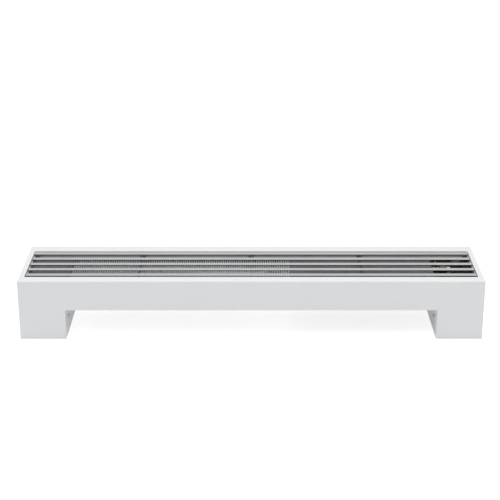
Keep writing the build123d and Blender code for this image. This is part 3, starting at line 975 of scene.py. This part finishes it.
@dataclass
class Hydraulics(SubAssembly):
    """The valves, unions and air vent, with the parts of them that stay still."""

    softened: dict[str, tuple[str, float]] = field(default_factory=lambda: {
        "flow_union_nut": ("brass", 0.6),
        "return_union_nut": ("brass", 0.6),
        "flow_valve_body": ("nickel_plated_brass", 0.5),
        "return_valve_body": ("nickel_plated_brass", 0.5),
        "flow_valve_bonnet": ("nickel_plated_brass", 0.4),
        "return_valve_bonnet": ("nickel_plated_brass", 0.4),
        "air_vent_body": ("brass", 0.4),
    })


@dataclass
class TurningPart(SubAssembly):
    """One part that turns or slides on its own body."""


@dataclass
class Handwheel(SubAssembly):
    """The flow valve's handwheel with the marks on its top."""

    body: str = "handwheel"
    centre: tuple[float, float] = (460.0, -60.0)
    top: float = 119.0
    marks: int = 6
    mark_radius: float = 10.4
    mark_length: float = 1.6
    mark_growth: float = 0.45
    mark_width: float = 0.9
    mark_height: float = 0.5
    mark_edge: float = 0.12
    first_turn: float = -125.0
    turn_step: float = 50.0
    softened: dict[str, tuple[str, float]] = field(default_factory=lambda: {
        "handwheel": ("black_plastic", 0.35),
    })

    def build(self) -> None:
        """Builds the wheel and its raised marks, each longer than the last."""
        self.build_softened()
        shape = bmesh.new()
        for number in range(self.marks):
            size = (self.mark_length + self.mark_growth * number, self.mark_width, self.mark_height)
            mark = block((self.mark_radius, 0.0, 0.0), size, self.mark_edge)
            turn = math.radians(self.turn_step * number + self.first_turn)
            bmesh.ops.rotate(mark, cent=(0, 0, 0), matrix=rotation_about_z(turn), verts=mark.verts)
            bmesh.ops.translate(mark, vec=(*self.centre, self.top), verts=mark.verts)
            held = bpy.data.meshes.new("mark")
            mark.to_mesh(held)
            mark.free()
            shape.from_mesh(held)
            bpy.data.meshes.remove(held)
        add_piece("handwheel_marks", shape, Role(self.body, "marking_white"))


def rotation_about_z(angle: float) -> Matrix:
    """Gives the turn about the upright axis by an angle in radians."""
    return Matrix.Rotation(angle, 3, "Z")


# Studio

@dataclass
class Studio:
    """Pale floor, soft light and the camera, in metres and degrees."""

    floor_size: float = 9.0
    floor_level: float = -0.0004
    floor_colour: Colour = (0.88, 0.88, 0.88)
    floor_roughness: float = 0.9
    floor_glow: float = 0.72
    leg_middle: float = 0.45
    leg_half: tuple[float, float] = (0.0485, 0.0985)
    sky: float = 0.615
    lamp_power: float = 50.0
    lamp_size: float = 3.0
    lamp_place: Point = (0.0, -0.5, 3.0)
    camera_place: Point = (-0.0026, -2.5527, 1.2158)
    camera_tilt: float = 69.944
    lens: float = 90.43
    sensor_width: float = 36.0
    shift: float = -0.1

    @staticmethod
    def seen_directly(tree: NodeTree) -> NodeSocket:
        """Gives 1 for rays from the camera, through gloss or through glass, and 0 for the light's own."""
        path = tree.nodes.new("ShaderNodeLightPath")
        either = maths(tree, "MAXIMUM", path.outputs["Is Camera Ray"], path.outputs["Is Glossy Ray"])
        return maths(tree, "MAXIMUM", either, path.outputs["Is Transmission Ray"])

    def inside_legs(self, tree: NodeTree) -> NodeSocket:
        """Gives 1 on the floor inside the two hollow legs, where no backdrop is seen, and 0 elsewhere."""
        place = tree.nodes.new("ShaderNodeTexCoord").outputs["Object"]
        axes = add_node(tree, "ShaderNodeSeparateXYZ", {"Vector": place})
        along = maths(tree, "ABSOLUTE", axes.outputs["X"])
        from_middle = maths(tree, "ABSOLUTE", maths(tree, "SUBTRACT", along, self.leg_middle))
        across = maths(tree, "ABSOLUTE", axes.outputs["Y"])
        within_length = maths(tree, "LESS_THAN", from_middle, self.leg_half[0])
        within_depth = maths(tree, "LESS_THAN", across, self.leg_half[1])
        return maths(tree, "MULTIPLY", within_length, within_depth)

    def build_floor(self) -> Object:
        """Builds the floor, which looks white and keeps the convector's shadow.

        Returns:
            The floor's object.
        """
        shape = bmesh.new()
        bmesh.ops.create_grid(shape, x_segments=1, y_segments=1, size=self.floor_size)
        bmesh.ops.translate(shape, vec=(0.0, 0.0, self.floor_level), verts=shape.verts)
        mesh = bpy.data.meshes.new("floor")
        shape.to_mesh(mesh)
        shape.free()
        floor = bpy.data.objects.new("floor", mesh)
        bpy.context.scene.collection.objects.link(floor)
        material = bpy.data.materials.new("floor_white")
        material.use_nodes = True
        tree = material.node_tree
        shader = tree.nodes["Principled BSDF"]
        shader.inputs["Base Color"].default_value = rgba(self.floor_colour)
        shader.inputs["Roughness"].default_value = self.floor_roughness
        shader.inputs["Emission Color"].default_value = (1.0, 1.0, 1.0, 1.0)
        outside = maths(tree, "SUBTRACT", 1.0, self.inside_legs(tree))
        shown = maths(tree, "MULTIPLY", self.seen_directly(tree), outside)
        glow = maths(tree, "MULTIPLY", shown, self.floor_glow)
        tree.links.new(glow, shader.inputs["Emission Strength"])
        mesh.materials.append(material)
        return floor

    def build_world(self) -> None:
        """Lights the studio evenly from all round; the backdrop itself looks white."""
        world = bpy.data.worlds.new("studio")
        world.use_nodes = True
        tree = world.node_tree
        background = tree.nodes["Background"]
        background.inputs["Color"].default_value = (1.0, 1.0, 1.0, 1.0)
        strength = remap(tree, self.seen_directly(tree), (0.0, 1.0), (self.sky, 1.0))
        tree.links.new(strength, background.inputs["Strength"])
        bpy.context.scene.world = world

    def build_lamp(self) -> None:
        """Hangs one large soft lamp over the convector."""
        lamp = bpy.data.lights.new("overhead_softbox", "AREA")
        lamp.energy = self.lamp_power
        lamp.size = self.lamp_size
        holder = bpy.data.objects.new("overhead_softbox", lamp)
        holder.location = self.lamp_place
        bpy.context.scene.collection.objects.link(holder)

    def build_camera(self) -> None:
        """Sets up the camera at the photograph's viewing angle."""
        camera = bpy.data.cameras.new("camera")
        camera.lens = self.lens
        camera.sensor_width = self.sensor_width
        camera.shift_y = self.shift
        holder = bpy.data.objects.new("camera", camera)
        holder.location = self.camera_place
        holder.rotation_euler = (math.radians(self.camera_tilt), 0.0, 0.0)
        bpy.context.scene.collection.objects.link(holder)
        bpy.context.scene.camera = holder

    def build(self) -> None:
        """Builds the whole studio."""
        self.build_floor()
        self.build_world()
        self.build_lamp()
        self.build_camera()
        bpy.context.scene.view_settings.view_transform = "Standard"
        LOG.info("studio built")


def main() -> None:
    """Builds the convector and its studio."""
    logging.basicConfig(level=logging.INFO, format="%(message)s")
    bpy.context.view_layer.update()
    Casing().build()
    Grille().build()
    Supports().build()
    Exchanger().build()
    Hydraulics().build()
    Handwheel().build()
    turning = (
        ("flow_spindle", "flow_valve_spindle", "spindle_steel", 0.25),
        ("lockshield_cap", "lockshield_cap", "black_plastic", 0.35),
        ("lockshield_spindle", "lockshield_spindle", "spindle_steel", 0.25),
        ("air_vent_screw", "air_vent_screw", "nickel_plated_brass", 0.25),
    )
    for body, node, finish, edge in turning:
        TurningPart(body=body, softened={node: (finish, edge)}).build()
    Studio().build()


if __name__ == "__main__":
    main()
